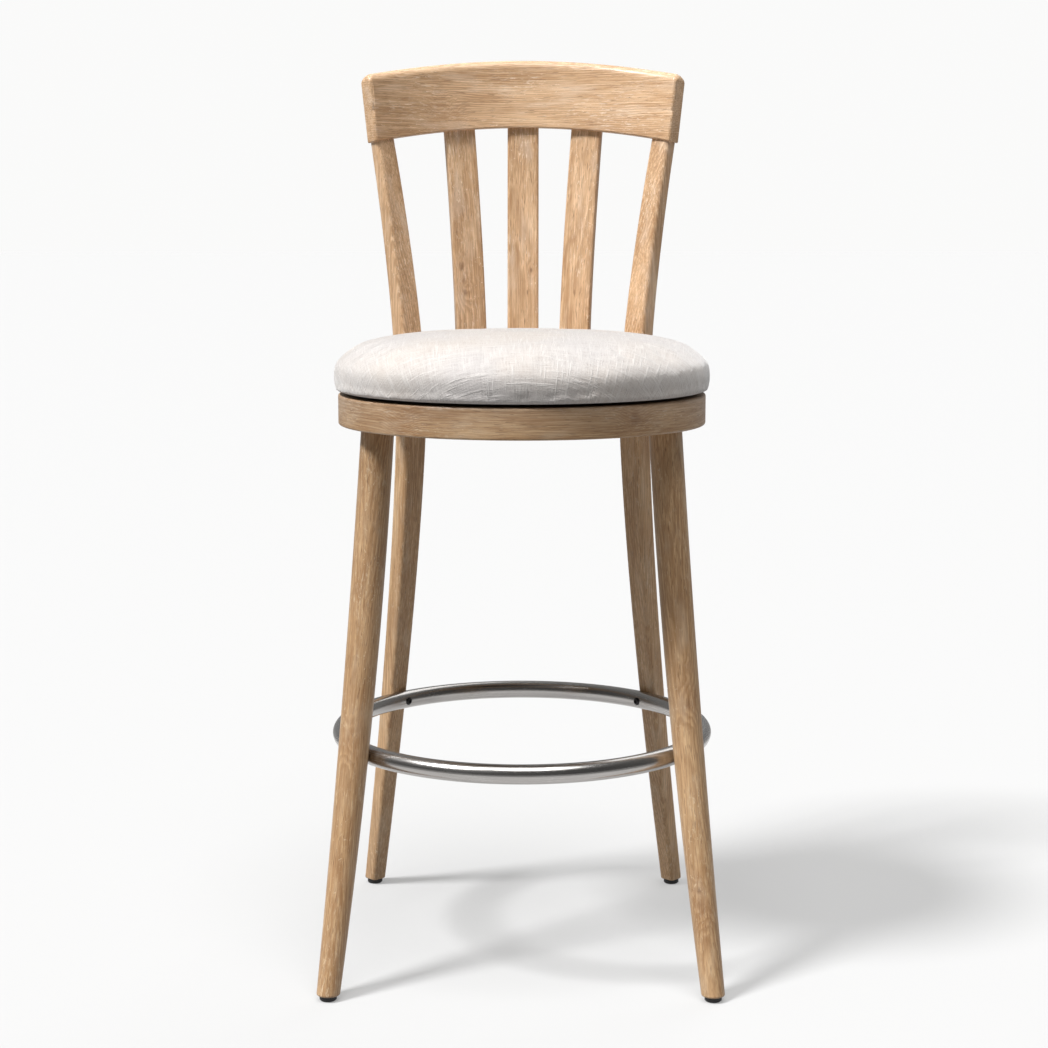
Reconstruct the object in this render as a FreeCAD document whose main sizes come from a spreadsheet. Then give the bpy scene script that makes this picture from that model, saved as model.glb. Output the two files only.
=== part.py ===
"""Bar stool: four splayed legs, a round padded seat, a slatted back and a steel foot ring.

Millimetres, +Z up, the sitter faces -Y.  The origin is on the floor under the middle of
the stool's box.  Left is -X and right is +X, as seen by someone facing the stool.
"""
import FreeCAD, Part
import math
import os
import Sketcher

DIMENSIONS = {
    # The vertical axis that the seat and the foot ring share, ahead of the middle of the box
    "axis_y": "-9.2",
    # Seat ring: a flat oak ring that every leg and slat is jointed into
    "ring_bottom": "638", "ring_height": "36", "ring_radius": "220",
    "ring_hole_radius": "140", "ring_edge_round": "2.5",
    # Front legs: round, tapered, bowed; places are where the leg's centre line runs
    "front_top_x": "168.2", "front_top_y": "72", "front_foot_x": "219", "front_foot_y": "230.5",
    "front_bow_x": "4", "front_bow_y": "13.5", "front_top_diameter": "39",
    "front_foot_diameter": "27", "front_swell": "4", "foot_round": "2",
    "leg_tenon_diameter": "24", "leg_tenon_length": "26",
    # Rear legs: each runs on above the seat as a back post
    "rear_seat_x": "141.5", "rear_seat_y": "148", "rear_splay_x": "57", "rear_splay_y": "57",
    "rear_curve_x": "1.4", "rear_curve_y": "1.87", "rear_turn": "44",
    "rear_foot_width": "22", "rear_foot_depth": "22", "rear_seat_width": "34",
    "rear_seat_depth": "27", "rear_corner": "5.5", "rear_joint_height": "646",
    "post_flare_x": "38", "post_flare_y": "35", "post_curve": "1.5", "post_turn": "38",
    "post_top_width": "28.5", "post_top_depth": "18", "post_top": "988",
    "post_tenon_width": "18", "post_tenon_depth": "9", "tenon_corner": "2",
    "post_tenon_length": "22", "notch_width": "34.2", "notch_radius": "191.2", "notch_margin": "5",
    # Back slats: three flat slats, bent and raked with the posts
    "slat_width": "40", "slat_depth": "12", "slat_corner": "3", "slat_top": "1001",
    "slat_seat_y": "203", "slat_rake": "38", "slat_curve_y": "1.4",
    "side_slat_x": "65.5", "side_slat_flare": "17", "side_slat_curve": "1.5",
    "side_slat_forward": "11", "side_slat_turn": "17", "side_slat_drop": "4",
    "slat_tenon_width": "30", "slat_tenon_depth": "8", "slat_tenon_length": "22",
    "slat_top_tenon": "12",
    # Crest rail: bent in plan, arched in front view, leaning with the posts
    "crest_bottom": "997", "crest_top": "1082.5", "crest_y": "240", "crest_lean": "0.15",
    "crest_plan_radius": "306", "crest_thickness": "22", "crest_arch_radius": "880",
    "crest_end_angle": "39.1", "crest_end_spread": "2.2", "crest_round": "10.4",
    "crest_end_round": "4", "crest_foot_round": "1.5", "crest_margin": "30",
    "housing_depth": "20",
    # Foot ring: a closed round tube inside the legs, screwed to every one of them
    "foot_ring_radius": "220", "foot_ring_height": "261", "tube_radius": "11.3",
    "tube_wall": "1.5",
    "front_screw_angle": "38.2", "rear_screw_angle": "45",
    # Upholstered seat panel, from the ring up
    "spacer_radius": "168", "spacer_height": "3", "dust_height": "0.8", "dust_inset": "16",
    "cover_thickness": "1.5", "hem_inset": "45", "board_height": "12", "board_inset": "12",
    "pad_radius": "226.5", "pad_back_radius": "190", "pad_back_angle": "34",
    "pad_widest": "21", "pad_crown": "74", "pad_shoulder_radius": "190",
    "pad_shoulder": "57.5", "pad_foot_radius": "221", "pad_side_bulge": "6.5",
    "plan_form_margin": "20", "staple_count": "24", "staple_start_angle": "3",
    "staple_inset": "27.5", "staple_wire": "0.7", "staple_width": "9", "staple_leg": "7",
    # Fasteners
    "seat_screw_circle": "157", "seat_screw_radius": "2.5", "seat_screw_head": "5",
    "seat_screw_head_height": "3.5", "seat_screw_sink": "14",
    "bolt_radius": "3", "bolt_head_radius": "5", "bolt_head": "6", "bolt_sink": "12",
    "bolt_sink_margin": "6", "bolt_end": "213", "bolt_spread": "8", "washer_radius": "6.5",
    "washer_height": "1.6", "insert_radius": "4.5", "insert_length": "15",
    "foot_screw_radius": "2.5", "foot_screw_length": "39", "foot_screw_head": "5",
    "foot_screw_head_height": "2.8", "foot_screw_flat": "3.2", "foot_screw_dome": "1.6",
    "foot_screw_sink": "1", "foot_socket_radius": "2.3", "foot_socket_depth": "1.5",
    "tee_flange_radius": "9.5", "tee_flange": "1.5", "tee_barrel_radius": "3.6",
    "tee_barrel": "8",
    # Glides under the legs
    "glide_radius": "9.8", "glide_height": "6", "glide_round": "1.5",
    "nail_radius": "1.3", "nail_head_radius": "3.5", "nail_head": "1", "nail_length": "18",
}

doc = FreeCAD.newDocument("bar_stool")
sheet = doc.addObject("Spreadsheet::Sheet", "dims")
for row, (alias, number) in enumerate(DIMENSIONS.items(), start=1):
    sheet.set(f"A{row}", number)
    sheet.setAlias(f"A{row}", alias)
doc.recompute()

Z_AXIS = FreeCAD.Vector(0, 0, 1)
Y_AXIS = FreeCAD.Vector(0, 1, 0)
SEAT_Z = "dims.ring_bottom + dims.ring_height"
SIDES = (("left", -1), ("right", 1))
SLAT_SIDES = (("left", -1), ("centre", 0), ("right", 1))


def size(expression):
    """The present number of a dimension or of an expression of dimensions."""
    result = sheet.evalExpression(str(expression))
    return float(getattr(result, "Value", result))


def new_body(name):
    """An empty body, whose frame is the seat's axis at floor height."""
    body = doc.addObject("PartDesign::Body", name)
    body.setExpression(".Placement.Base.y", "dims.axis_y")
    return body


def new_sketch(body, name, role="XY_Plane"):
    """A sketch on one of the body's own origin planes."""
    plane = next(part for part in body.Origin.OriginFeatures if part.Role == role)
    sketch = body.newObject("Sketcher::SketchObject", name)
    sketch.AttachmentSupport = (plane, [""])
    sketch.MapMode = "FlatFace"
    return sketch


def place_sketch(sketch, x, y, z, turn=0):
    """Move a horizontal sketch to a place given by expressions, turned by degrees about Z."""
    for letter, expression in (("x", x), ("y", y), ("z", z)):
        sketch.setExpression(f".AttachmentOffset.Base.{letter}", str(expression))
    sketch.AttachmentOffset = FreeCAD.Placement(
        FreeCAD.Vector(size(x), size(y), size(z)), FreeCAD.Rotation(Z_AXIS, size(turn)))
    if turn:
        sketch.setExpression(".AttachmentOffset.Rotation.Angle", str(turn))


def hold(sketch, kind, *where, to):
    """Add a sized constraint that follows an expression."""
    index = sketch.addConstraint(Sketcher.Constraint(kind, *where, size(to)))
    sketch.setExpression(f"Constraints[{index}]", str(to))


def hold_point(sketch, edge, end, x, y):
    """Hold one end of an edge at (x, y) from the sketch's origin; 0 means on the axis."""
    for kind, axis, value in (("DistanceX", -2, x), ("DistanceY", -1, y)):
        if value == 0:
            sketch.addConstraint(Sketcher.Constraint("PointOnObject", edge, end, axis))
        else:
            hold(sketch, kind, -1, 1, edge, end, to=value)


def draw_circle(sketch, radius):
    """A circle about the sketch's origin."""
    edge = sketch.addGeometry(Part.Circle(FreeCAD.Vector(), Z_AXIS, size(radius)))
    sketch.addConstraint(Sketcher.Constraint("Coincident", edge, 3, -1, 1))
    hold(sketch, "Radius", edge, to=radius)


def draw_outline(sketch, corners):
    """A closed outline of straight edges through corners, each a pair of expressions."""
    points = [FreeCAD.Vector(size(x), size(y), 0) for x, y in corners]
    first = sketch.GeometryCount
    count = len(points)
    for index in range(count):
        sketch.addGeometry(Part.LineSegment(points[index], points[(index + 1) % count]))
    for index, (x, y) in enumerate(corners):
        following = (index + 1) % count
        sketch.addConstraint(
            Sketcher.Constraint("Coincident", first + index, 2, first + following, 1))
        hold_point(sketch, first + index, 1, x, y)


def draw_rounded_rectangle(sketch, width, depth, corner):
    """A rectangle with round corners, centred on the sketch's origin."""
    half_x, half_y, radius = size(width) / 2, size(depth) / 2, size(corner)
    inner_x, inner_y = half_x - radius, half_y - radius
    quarter = math.pi / 2
    walls = [((inner_x, half_y), (-inner_x, half_y)), ((-half_x, inner_y), (-half_x, -inner_y)),
             ((-inner_x, -half_y), (inner_x, -half_y)), ((half_x, -inner_y), (half_x, inner_y))]
    centres = [(-inner_x, inner_y), (-inner_x, -inner_y), (inner_x, -inner_y), (inner_x, inner_y)]
    for turn, ((start, end), centre) in enumerate(zip(walls, centres), start=1):
        sketch.addGeometry(Part.LineSegment(FreeCAD.Vector(*start, 0), FreeCAD.Vector(*end, 0)))
        circle = Part.Circle(FreeCAD.Vector(*centre, 0), Z_AXIS, radius)
        sketch.addGeometry(Part.ArcOfCircle(circle, turn * quarter, (turn + 1) * quarter))
    for wall in (0, 2, 4, 6):
        sketch.addConstraint(Sketcher.Constraint("Tangent", wall, 2, wall + 1, 1))
        sketch.addConstraint(Sketcher.Constraint("Tangent", wall + 1, 2, (wall + 2) % 8, 1))
    sketch.addConstraint(Sketcher.Constraint("Horizontal", 0))
    sketch.addConstraint(Sketcher.Constraint("Vertical", 2))
    for arc in (3, 5, 7):
        sketch.addConstraint(Sketcher.Constraint("Equal", 1, arc))
    sketch.addConstraint(Sketcher.Constraint("Symmetric", 1, 3, 5, 3, -1, 1))
    hold(sketch, "Radius", 1, to=corner)
    hold(sketch, "DistanceX", 0, 2, 0, 1, to=f"({width}) - 2 * ({corner})")
    hold(sketch, "DistanceY", 2, 2, 2, 1, to=f"({depth}) - 2 * ({corner})")


def loft(body, sections):
    """A smooth solid through sketches in their order."""
    feature = body.newObject("PartDesign::AdditiveLoft", sections[-1].Name + "_loft")
    feature.Profile = sections[0]
    feature.Sections = sections[1:]
    return feature


def pad(body, sketch, length, downward=False):
    """Extrude a sketch upward, or downward."""
    feature = body.newObject("PartDesign::Pad", sketch.Name + "_pad")
    feature.Profile = sketch
    feature.Length = size(length)
    feature.setExpression("Length", str(length))
    feature.Reversed = downward
    return feature


def revolve(body, sketch):
    """A full turn of a sketch about the body's vertical axis."""
    feature = body.newObject("PartDesign::Revolution", body.Name + "_turn")
    feature.Profile = sketch
    feature.ReferenceAxis = (sketch, ["V_Axis"])
    feature.Angle = 360
    return feature


def turned(name, corners, placement=None):
    """A turned piece: an outline of (radius, height) pairs taken round the vertical axis.

    Without a placement it stands on the seat's axis; a placement is in the stool's frame.
    """
    body = new_body(name)
    sketch = new_sketch(body, name + "_outline", "XZ_Plane")
    draw_outline(sketch, corners)
    revolve(body, sketch)
    if placement is not None:
        body.setExpression(".Placement.Base.y", None)
        body.Placement = placement
    return body


def combine(kind, name, parts):
    """A fusion or a common solid of several pieces."""
    feature = doc.addObject(kind, name)
    feature.Shapes = parts
    return feature


def cut(label, base, tools):
    """The base with room cut in it for every tool, labelled as a finished piece."""
    tool = tools[0] if len(tools) == 1 else combine("Part::MultiFuse", label + "_room", tools)
    feature = doc.addObject("Part::Cut", label)
    feature.Base = base
    feature.Tool = tool
    return feature


def fillet(name, base, radii):
    """Round edges of a solid: radii pairs a test of an edge with a radius."""
    doc.recompute()
    feature = doc.addObject("Part::Fillet", name)
    feature.Base = base
    rounds = []
    for index, edge in enumerate(base.Shape.Edges, start=1):
        for test, radius in radii:
            if test(edge):
                rounds.append((index, size(radius), size(radius)))
                break
    feature.Edges = rounds
    return feature


def middle_of(edge):
    """The point half way along an edge."""
    return edge.valueAt((edge.FirstParameter + edge.LastParameter) / 2)


def soften_foot(name, leg):
    """Round the edge of a leg's foot."""
    limit = size("dims.glide_height + dims.foot_round")
    return fillet(name, leg, [(lambda edge: middle_of(edge).z < limit, "dims.foot_round")])


def on_axis(x, y, z, rotation=None):
    """A placement at (x, y) from the seat's axis, at a height above the floor."""
    base = FreeCAD.Vector(x, y + size("dims.axis_y"), z)
    return FreeCAD.Placement(base, rotation or FreeCAD.Rotation())


def radial(angle, radius, height):
    """A placement whose own +Z points straight out from the seat's axis, at an angle."""
    turn = math.radians(angle)
    outward = FreeCAD.Rotation(Z_AXIS, angle) * FreeCAD.Rotation(Y_AXIS, 90)
    return on_axis(radius * math.cos(turn), radius * math.sin(turn), height, outward)


# ---------------------------------------------------------------- fasteners and glides

def screw_outline(shank, length, head_radius, head_height):
    """Half outline of a headed fastener: head below its own origin, shank above it."""
    return [(0, 0), (head_radius, 0), (head_radius, head_height), (shank, head_height),
            (shank, f"{head_height} + ({length})"), (0, f"{head_height} + ({length})")]


def ring_outline(hole, radius, height):
    """Half outline of a flat ring such as a washer."""
    return [(hole, 0), (radius, 0), (radius, height), (hole, height)]


def fastener_group(label, outline, placements):
    """Identical turned fasteners, one at each placement, kept as one named group."""
    pieces = [turned(f"{label}_{number}", outline, placement)
              for number, placement in enumerate(placements, start=1)]
    return combine_group(label, pieces)


def combine_group(label, pieces):
    """Several separate solids under one name."""
    group = doc.addObject("Part::Compound", label)
    group.Links = pieces
    return group


def foot_screw_angles():
    """Where the foot ring meets the legs, in degrees from +X."""
    front = size("dims.front_screw_angle")
    rear = size("dims.rear_screw_angle")
    return [rear, 180 - rear, 180 + front, -front]


def make_foot_screws():
    """Button-head screws through the foot ring, from its inner side into the four legs."""
    head = "dims.foot_screw_head_height"
    tip = f"{head} + dims.foot_screw_length"
    outline = [(0, 0), ("dims.foot_screw_flat", 0), ("dims.foot_screw_head", "dims.foot_screw_dome"),
               ("dims.foot_screw_head", head), ("dims.foot_screw_radius", head),
               ("dims.foot_screw_radius", tip), (0, tip)]
    start = size("dims.foot_ring_radius - dims.tube_radius + dims.foot_screw_sink"
                 " - dims.foot_screw_head_height")
    screws = []
    for number, angle in enumerate(foot_screw_angles(), start=1):
        place = radial(angle, start, size("dims.foot_ring_height"))
        blank = turned(f"footrest_screw_{number}_blank", outline, place)
        socket = doc.addObject("Part::Prism", f"footrest_socket_{number}")
        socket.Polygon = 6
        socket.setExpression("Circumradius", "dims.foot_socket_radius")
        socket.setExpression("Height", "dims.foot_socket_depth")
        socket.Placement = place
        screws.append(cut(f"footrest_screw_{number}", blank, [socket]))
    return combine_group("footrest_screws", screws)


def rear_leg_direction():
    """Which way the right rear leg stands from the seat's axis, in degrees from +X."""
    return math.degrees(math.atan2(size("dims.rear_seat_y"), size("dims.rear_seat_x")))


def bolt_places(radius):
    """Two places for each rear leg, one above the other, all on the leg's own direction."""
    middle = size("dims.ring_bottom + dims.ring_height / 2")
    spread = size("dims.bolt_spread")
    angle = rear_leg_direction()
    return [radial(turn, radius, middle + side * spread)
            for turn in (angle, 180 - angle) for side in (-1, 1)]


def make_leg_bolts():
    """Bolts from the hole of the seat ring outward into the rear legs, with their fittings."""
    seat = size("dims.ring_hole_radius + dims.bolt_sink")
    head = size("dims.bolt_head")
    length = f"dims.bolt_end - {seat}"
    bolts = fastener_group(
        "rear_leg_bolts",
        screw_outline("dims.bolt_radius", length, "dims.bolt_head_radius", "dims.bolt_head"),
        bolt_places(seat - head))
    washers = fastener_group(
        "rear_leg_washers",
        ring_outline("dims.bolt_radius", "dims.washer_radius", "dims.washer_height"),
        bolt_places(seat))
    inserts = fastener_group(
        "rear_leg_inserts",
        ring_outline("dims.bolt_radius", "dims.insert_radius", "dims.insert_length"),
        bolt_places(size("dims.bolt_end - dims.insert_length")))
    sink = "dims.bolt_sink + dims.washer_height + dims.bolt_sink_margin"
    sinks = fastener_group(
        "bolt_sinks",
        [(0, 0), ("dims.washer_radius", 0), ("dims.washer_radius", sink), (0, sink)],
        bolt_places(size("dims.ring_hole_radius - dims.bolt_sink_margin")))
    return bolts, washers, inserts, sinks


def seat_screw_places(height):
    """Four places a quarter turn apart round the seat ring."""
    circle = size("dims.seat_screw_circle")
    return [on_axis(circle * math.cos(turn), circle * math.sin(turn), height)
            for turn in (0, math.pi / 2, math.pi, 3 * math.pi / 2)]


def make_seat_screws():
    """Machine screws up through the ring into tee nuts that sit in the seat board."""
    head_height = size("dims.seat_screw_head_height")
    sink = size("dims.seat_screw_sink")
    ring_bottom = size("dims.ring_bottom")
    board_top = size(f"{BOARD_Z} + dims.board_height")
    length = board_top - ring_bottom - sink
    screws = fastener_group(
        "seat_screws",
        screw_outline("dims.seat_screw_radius", length, "dims.seat_screw_head", head_height),
        seat_screw_places(ring_bottom + sink - head_height))
    sinks = fastener_group(
        "seat_screw_sinks",
        [(0, 0), ("dims.seat_screw_head", 0), ("dims.seat_screw_head", "dims.seat_screw_sink"),
         (0, "dims.seat_screw_sink")],
        seat_screw_places(ring_bottom))
    inner = "dims.seat_screw_radius"
    tee_nuts = fastener_group(
        "seat_tee_nuts",
        [(inner, 0), ("dims.tee_barrel_radius", 0), ("dims.tee_barrel_radius", "dims.tee_barrel"),
         ("dims.tee_flange_radius", "dims.tee_barrel"),
         ("dims.tee_flange_radius", "dims.tee_barrel + dims.tee_flange"),
         (inner, "dims.tee_barrel + dims.tee_flange")],
        seat_screw_places(board_top - size("dims.tee_barrel")))
    return screws, sinks, tee_nuts


def foot_places():
    """The four places where legs meet their glides, with the name of each."""
    front = ("dims.front_foot_x", "dims.front_foot_y", -1, "front")
    rear = ("dims.rear_seat_x + dims.rear_splay_x", "dims.rear_seat_y + dims.rear_splay_y",
            1, "rear")
    return [(f"{row}_{side}", sign * size(x), way * size(y))
            for x, y, way, row in (front, rear) for side, sign in SIDES]


def make_glides():
    """Nail-on glides: a plastic button moulded round the head of a steel nail."""
    height = "dims.glide_height"
    nail_outline = [
        (0, 0), ("dims.nail_head_radius", 0), ("dims.nail_head_radius", "dims.nail_head"),
        ("dims.nail_radius", "dims.nail_head"),
        ("dims.nail_radius", "dims.nail_head + dims.nail_length"),
        (0, "dims.nail_head + dims.nail_length")]
    nail_bottom = size(height) / 2
    nails = fastener_group("glide_nails", nail_outline,
                           [on_axis(x, y, nail_bottom) for _, x, y in foot_places()])
    for name, x, y in foot_places():
        button = turned(
            f"glide_{name}_button",
            [(0, 0), ("dims.glide_radius - dims.glide_round", 0),
             ("dims.glide_radius", "dims.glide_round"), ("dims.glide_radius", height),
             (0, height)],
            on_axis(x, y, 0))
        pieces[f"glide_{name}"] = cut(f"glide_{name}", button, [nails])
    return nails


# ---------------------------------------------------------------- legs, posts and slats

def make_front_leg(side, sign):
    """A round tapered leg, bowed outward, with a round tenon on top."""
    body = new_body(f"front_leg_{side}_turned")
    foot = "dims.glide_height"
    sections = []
    for step, down in enumerate((0, 0.2, 0.4, 0.6, 0.8, 1)):
        bow = 4 * down * (1 - down)
        x = f"{sign} * (dims.front_top_x + (dims.front_foot_x - dims.front_top_x) * {down}"
        x += f" - dims.front_bow_x * {bow})"
        y = f"-(dims.front_top_y + (dims.front_foot_y - dims.front_top_y) * {down}"
        y += f" - dims.front_bow_y * {bow})"
        z = f"dims.ring_bottom - (dims.ring_bottom - {foot}) * {down}"
        radius = "(dims.front_top_diameter + (dims.front_foot_diameter"
        radius += f" - dims.front_top_diameter) * {down} + dims.front_swell * {bow}) / 2"
        sketch = new_sketch(body, f"front_{side}_section_{step}")
        place_sketch(sketch, x, y, z)
        draw_circle(sketch, radius)
        sections.append(sketch)
    loft(body, sections)
    tenon = new_sketch(body, f"front_{side}_tenon")
    place_sketch(tenon, f"{sign} * dims.front_top_x", "-dims.front_top_y", "dims.ring_bottom")
    draw_circle(tenon, "dims.leg_tenon_diameter / 2")
    pad(body, tenon, "dims.leg_tenon_length")
    return body


def make_rear_leg(side, sign):
    """A rear leg and back post in one curved piece, four-sided with round arrises."""
    body = new_body(f"rear_leg_{side}_shaped")
    foot = "dims.glide_height"
    joint = "dims.rear_joint_height"
    sections = []
    for step, down in enumerate((1, 0.8, 0.6, 0.4, 0.2, 0)):
        x = f"{sign} * (dims.rear_seat_x + dims.rear_splay_x * {down} ^ dims.rear_curve_x)"
        y = f"dims.rear_seat_y + dims.rear_splay_y * {down} ^ dims.rear_curve_y"
        z = f"{joint} - ({joint} - {foot}) * {down}"
        width = "dims.rear_seat_width + (dims.rear_foot_width - dims.rear_seat_width)"
        depth = "dims.rear_seat_depth + (dims.rear_foot_depth - dims.rear_seat_depth)"
        sketch = new_sketch(body, f"rear_{side}_section_{step}")
        place_sketch(sketch, x, y, z, f"{-sign} * dims.rear_turn")
        draw_rounded_rectangle(sketch, f"{width} * {down}", f"{depth} * {down}",
                               "dims.rear_corner")
        sections.append(sketch)
    loft(body, sections)
    sections = sections[-1:]
    for step, up in enumerate((0.25, 0.5, 0.75, 1), start=6):
        width = "dims.rear_seat_width + (dims.post_top_width - dims.rear_seat_width)"
        depth = "dims.rear_seat_depth + (dims.post_top_depth - dims.rear_seat_depth)"
        turn = f"{-sign} * (dims.rear_turn + (dims.post_turn - dims.rear_turn) * {up})"
        sketch = new_sketch(body, f"rear_{side}_section_{step}")
        place_sketch(sketch, *post_station(sign, up), turn)
        draw_rounded_rectangle(sketch, f"{width} * {up}", f"{depth} * {up}", "dims.rear_corner")
        sections.append(sketch)
    loft(body, sections)
    add_tenon(body, f"rear_{side}_tenon", post_station(sign, 1), f"{-sign} * dims.post_turn",
              "dims.post_tenon_width", "dims.post_tenon_depth", "dims.post_tenon_length")
    return body


def post_station(sign, up):
    """Where a back post's centre line is, a fraction of the way up from the seat joint."""
    joint = "dims.rear_joint_height"
    return (f"{sign} * (dims.rear_seat_x + dims.post_flare_x * {up} ^ dims.post_curve)",
            f"dims.rear_seat_y + dims.post_flare_y * {up} ^ dims.post_curve",
            f"{joint} + (dims.post_top - {joint}) * {up}")


def slat_station(sign, up):
    """Where a slat's centre line is, a fraction of the way up, as three expressions."""
    outward = abs(sign)
    x = f"{sign} * (dims.side_slat_x + dims.side_slat_flare * {up} ^ dims.side_slat_curve)"
    y = f"dims.slat_seat_y - {outward} * dims.side_slat_forward"
    y += f" + dims.slat_rake * {up} ^ dims.slat_curve_y"
    top = f"dims.slat_top - {outward} * dims.side_slat_drop"
    return x, y, f"{SEAT_Z} + ({top} - ({SEAT_Z})) * {up}"


def slat_turn(sign):
    """How far a slat is turned to face the middle of the seat."""
    return f"{-sign} * dims.side_slat_turn" if sign else 0


def make_slat(side, sign):
    """A flat bent slat with a tenon on each end; sign 0 is the middle slat."""
    body = new_body(f"back_slat_{side}")
    sections = []
    for step, up in enumerate((0, 0.34, 0.67, 1)):
        sketch = new_sketch(body, f"slat_{side}_section_{step}")
        place_sketch(sketch, *slat_station(sign, up), slat_turn(sign))
        draw_rounded_rectangle(sketch, "dims.slat_width", "dims.slat_depth", "dims.slat_corner")
        sections.append(sketch)
    loft(body, sections)
    for up, length in ((0, "dims.slat_tenon_length"), (1, "dims.slat_top_tenon")):
        add_tenon(body, f"slat_{side}_tenon_{up}", slat_station(sign, up), slat_turn(sign),
                  "dims.slat_tenon_width", "dims.slat_tenon_depth", length, downward=(up == 0))
    return body


def make_slat_mortise(side, sign):
    """The room for a slat's lower tenon in the seat ring."""
    body = new_body(f"slat_{side}_mortise")
    add_tenon(body, f"slat_{side}_mortise_plan", slat_station(sign, 0), slat_turn(sign),
              "dims.slat_tenon_width", "dims.slat_tenon_depth", "dims.slat_tenon_length",
              downward=True)
    return body


def add_tenon(body, name, place, turn, width, depth, length, downward=False):
    """A straight tenon with round corners, up or down from a place."""
    sketch = new_sketch(body, name)
    place_sketch(sketch, *place, turn)
    draw_rounded_rectangle(sketch, width, depth, "dims.tenon_corner")
    pad(body, sketch, length, downward)


def make_housing(name, station, turn, section, tenon):
    """The room for the top of a post or slat in the crest rail.

    It follows the piece's own slope down from its top and holds its tenon above.  A station
    gives the centre line at a fraction of the piece's height; section and tenon are
    (width, depth, corner) and (width, depth, length).
    """
    body = new_body(name)
    top, just_below = station(1), station(0.97)
    slope = FreeCAD.Vector(*[size(start) - size(end) for start, end in zip(just_below, top)])
    sketch = new_sketch(body, name + "_plan")
    place_sketch(sketch, *top, turn)
    draw_rounded_rectangle(sketch, *section)
    lowered = pad(body, sketch, "dims.housing_depth")
    lowered.UseCustomVector = True
    lowered.Direction = slope
    add_tenon(body, name + "_tenon", top, turn, *tenon)
    return body


def draw_band(sketch, outer, inner, half_angle):
    """Part of a flat ring about the sketch's origin, symmetric about +Y, with radial ends."""
    turn = math.radians(half_angle)
    arcs = []
    for radius in (outer, inner):
        circle = Part.Circle(FreeCAD.Vector(), Z_AXIS, size(radius))
        arcs.append(sketch.addGeometry(
            Part.ArcOfCircle(circle, math.pi / 2 - turn, math.pi / 2 + turn)))
    for end in (1, 2):
        far, near = (sketch.getPoint(arc, end) for arc in arcs)
        line = sketch.addGeometry(Part.LineSegment(far, near))
        sketch.addConstraint(Sketcher.Constraint("Coincident", line, 1, arcs[0], end))
        sketch.addConstraint(Sketcher.Constraint("Coincident", line, 2, arcs[1], end))
    for arc in arcs:
        sketch.addConstraint(Sketcher.Constraint("Block", arc))


def make_crest_blank():
    """The bent and leaning rail before its mortises: a curved band cut to its front arches."""
    band = new_body("crest_band")
    margin = size("dims.crest_margin")
    bottom, top = size("dims.crest_bottom"), size("dims.crest_top")
    sections = []
    for name, height in (("low", bottom - margin), ("high", top + margin)):
        rise = height - bottom
        sketch = new_sketch(band, f"crest_plan_{name}")
        place_sketch(sketch, 0, f"dims.crest_y + dims.crest_lean * {rise}"
                     " - dims.crest_plan_radius", height)
        spread = size("dims.crest_end_spread") * rise / (top - bottom)
        draw_band(sketch, "dims.crest_plan_radius + dims.crest_thickness / 2",
                  "dims.crest_plan_radius - dims.crest_thickness / 2",
                  size("dims.crest_end_angle") + spread)
        sections.append(sketch)
    loft(band, sections)

    front = new_body("crest_front")
    outline = new_sketch(front, "crest_front_outline", "XZ_Plane")
    arch = size("dims.crest_arch_radius")
    half = size("dims.ring_radius") + margin

    def arch_point(crown, x):
        return FreeCAD.Vector(x, crown - arch + math.sqrt(arch ** 2 - x ** 2), 0)

    low = [arch_point(bottom, x) for x in (-half, 0, half)]
    high = [arch_point(top, x) for x in (half, 0, -half)]
    for edge in (Part.Arc(*low), Part.LineSegment(low[2], high[0]), Part.Arc(*high),
                 Part.LineSegment(high[2], low[0])):
        outline.addConstraint(Sketcher.Constraint("Block", outline.addGeometry(edge)))
    through = pad(front, outline, "2 * (dims.crest_plan_radius + dims.crest_margin)")
    through.Midplane = True
    doc.recompute()
    return round_crest(combine("Part::MultiCommon", "crest_blank", [band, front]))


def round_crest(blank):
    """Round the rail's top edges broadly, its end edges less and its lower edges a little."""
    half_way = size("(dims.crest_bottom + dims.crest_top) / 2")

    def is_end(edge):
        ends = [vertex.Point.z for vertex in edge.Vertexes]
        return abs(ends[0] - ends[-1]) > size("dims.crest_thickness")

    return fillet("crest_rounded", blank, [
        (is_end, "dims.crest_end_round"),
        (lambda edge: middle_of(edge).z < half_way, "dims.crest_foot_round"),
        (lambda edge: True, "dims.crest_round")])


def make_crest_housings():
    """Room in the crest rail for both posts and all three slats."""
    housings = []
    for side, sign in SIDES:
        housings.append(make_housing(
            f"post_{side}_housing", lambda up, sign=sign: post_station(sign, up),
            f"{-sign} * dims.post_turn",
            ("dims.post_top_width", "dims.post_top_depth", "dims.rear_corner"),
            ("dims.post_tenon_width", "dims.post_tenon_depth", "dims.post_tenon_length")))
    for side, sign in SLAT_SIDES:
        housings.append(make_housing(
            f"slat_{side}_housing", lambda up, sign=sign: slat_station(sign, up),
            slat_turn(sign), ("dims.slat_width", "dims.slat_depth", "dims.slat_corner"),
            ("dims.slat_tenon_width", "dims.slat_tenon_depth", "dims.slat_top_tenon")))
    return housings


# ---------------------------------------------------------------- rings

def make_leg_mortise(side, sign):
    """The round blind hole in the underside of the seat ring for a front leg's tenon."""
    body = new_body(f"front_{side}_mortise")
    sketch = new_sketch(body, f"front_{side}_mortise_plan")
    place_sketch(sketch, f"{sign} * dims.front_top_x", "-dims.front_top_y", "dims.ring_bottom")
    draw_circle(sketch, "dims.leg_tenon_diameter / 2")
    pad(body, sketch, "dims.leg_tenon_length")
    return body


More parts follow.
